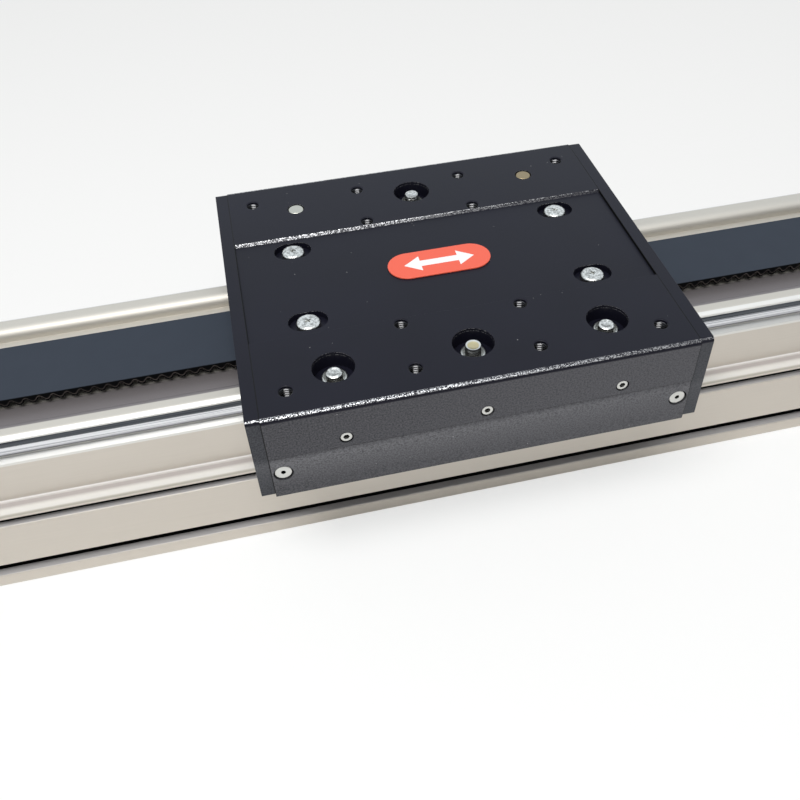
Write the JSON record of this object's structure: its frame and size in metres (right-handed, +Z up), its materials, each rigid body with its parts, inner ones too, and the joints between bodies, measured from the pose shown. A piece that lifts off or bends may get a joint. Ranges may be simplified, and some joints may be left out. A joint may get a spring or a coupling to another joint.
{
  "type": "belt driven linear axis",
  "caption": "Belt driven linear axis: a black carriage on grooved rollers runs along steel shafts on an aluminium rail, pulled by a toothed belt between end blocks.",
  "frame": {"origin": "centre of the rail's bottom face, at the middle of its length", "axes": "+X along the travel, towards the drive block with the shaft stub, +Z up through the carriage top, +Y towards the shaft stub's side"},
  "size_m": [0.634, 0.14, 0.098],
  "materials": {
    "rail_aluminium": "satin anodised",
    "shaft_steel": "ground, hardened",
    "black_anodised": "bead blasted and black anodised",
    "belt_rubber": "matte",
    "bearing_steel": "ground",
    "bumper_rubber": "matte",
    "plain_aluminium": "machined",
    "badge_enamel": "satin enamel",
    "black_steel": "black oxide",
    "zinc_steel": "zinc plated"
  },
  "bodies": {
    "rail_frame": {"drive_bearing_outer_rings": "zinc_steel", "drive_belt": "belt_rubber", "drive_block_screws": "black_steel", "drive_cover_screws": "black_steel", "drive_end_cover": "black_anodised", "drive_housing": "black_anodised", "drive_seat_rings": "zinc_steel", "end_bumpers": "bumper_rubber", "front_guide_shaft": "shaft_steel", "idler_axle": "bearing_steel", "idler_bearing_inner_rings": "zinc_steel", "idler_block_screws": "black_steel", "idler_cover_screws": "black_steel", "idler_end_cover": "black_anodised", "idler_housing": "black_anodised", "idler_spacers": "zinc_steel", "rail_profile": "rail_aluminium", "rear_guide_shaft": "shaft_steel", "tension_blocks": "plain_aluminium", "tension_screws": "black_steel"},
    "carriage": {"carriage_plate": "black_anodised", "left_end_cap": "black_anodised", "right_end_cap": "black_anodised", "end_cap_screws": "zinc_steel", "roller_studs": "bearing_steel", "roller_pins": "bearing_steel", "eccentric_bushes": "zinc_steel", "roller_inner_rings": "zinc_steel", "roller_spacers": "zinc_steel", "roller_lock_screws": "zinc_steel", "left_belt_clamp": "plain_aluminium", "right_belt_clamp": "plain_aluminium", "belt_clamp_screws": "zinc_steel", "badge_plate": "badge_enamel"},
    "drive_pulley": {"drive_pulley": "plain_aluminium", "drive_pulley_flanges": "zinc_steel", "drive_shaft": "bearing_steel", "drive_key": "zinc_steel", "drive_bearing_inner_rings": "zinc_steel", "drive_spacers": "zinc_steel", "drive_shaft_clips": "zinc_steel"},
    "idler_pulley": {"idler_pulley": "plain_aluminium", "idler_pulley_flanges": "zinc_steel", "idler_bearing_outer_rings": "zinc_steel", "idler_retaining_rings": "zinc_steel"},
    "front_left_roller": {"front_left_roller": "bearing_steel"},
    "front_middle_roller": {"front_middle_roller": "bearing_steel"},
    "front_right_roller": {"front_right_roller": "bearing_steel"},
    "rear_left_roller": {"rear_left_roller": "bearing_steel"},
    "rear_middle_roller": {"rear_middle_roller": "bearing_steel"},
    "rear_right_roller": {"rear_right_roller": "bearing_steel"}
  },
  "joints": [
    {"name": "carriage_slide", "type": "slide", "parent": "rail_frame", "child": "carriage", "axis": [1, 0, 0], "range_m": [-0.155, 0.155], "deforming": ["drive_belt"]},
    {"name": "drive_pulley_turn", "type": "hinge", "parent": "rail_frame", "child": "drive_pulley", "pos_m": [0.28, 0, 0.05276], "axis": [0, 1, 0], "range_deg": [-380, 380]},
    {"name": "idler_pulley_turn", "type": "hinge", "parent": "rail_frame", "child": "idler_pulley", "pos_m": [-0.28, 0, 0.05276], "axis": [0, 1, 0], "range_deg": [-380, 380]},
    {"name": "front_left_roller_turn", "type": "hinge", "parent": "carriage", "child": "front_left_roller", "pos_m": [-0.05, -0.05, 0.0717], "axis": [0, 0, 1], "range_deg": [-660, 660]},
    {"name": "front_middle_roller_turn", "type": "hinge", "parent": "carriage", "child": "front_middle_roller", "pos_m": [0, -0.05, 0.0717], "axis": [0, 0, 1], "range_deg": [-660, 660]},
    {"name": "front_right_roller_turn", "type": "hinge", "parent": "carriage", "child": "front_right_roller", "pos_m": [0.05, -0.05, 0.0717], "axis": [0, 0, 1], "range_deg": [-660, 660]},
    {"name": "rear_left_roller_turn", "type": "hinge", "parent": "carriage", "child": "rear_left_roller", "pos_m": [-0.05, 0.05, 0.0717], "axis": [0, 0, 1], "range_deg": [-660, 660]},
    {"name": "rear_middle_roller_turn", "type": "hinge", "parent": "carriage", "child": "rear_middle_roller", "pos_m": [0, 0.05, 0.0717], "axis": [0, 0, 1], "range_deg": [-660, 660]},
    {"name": "rear_right_roller_turn", "type": "hinge", "parent": "carriage", "child": "rear_right_roller", "pos_m": [0.05, 0.05, 0.0717], "axis": [0, 0, 1], "range_deg": [-660, 660]}
  ],
  "couplings": [
    {"joint": "drive_pulley_turn", "follows": "carriage_slide", "rad_per_m": 41.888},
    {"joint": "idler_pulley_turn", "follows": "carriage_slide", "rad_per_m": 41.888},
    {"joint": "front_left_roller_turn", "follows": "carriage_slide", "rad_per_m": 71.429},
    {"joint": "front_middle_roller_turn", "follows": "carriage_slide", "rad_per_m": 71.429},
    {"joint": "front_right_roller_turn", "follows": "carriage_slide", "rad_per_m": 71.429},
    {"joint": "rear_left_roller_turn", "follows": "carriage_slide", "rad_per_m": -71.429},
    {"joint": "rear_middle_roller_turn", "follows": "carriage_slide", "rad_per_m": -71.429},
    {"joint": "rear_right_roller_turn", "follows": "carriage_slide", "rad_per_m": -71.429}
  ]
}
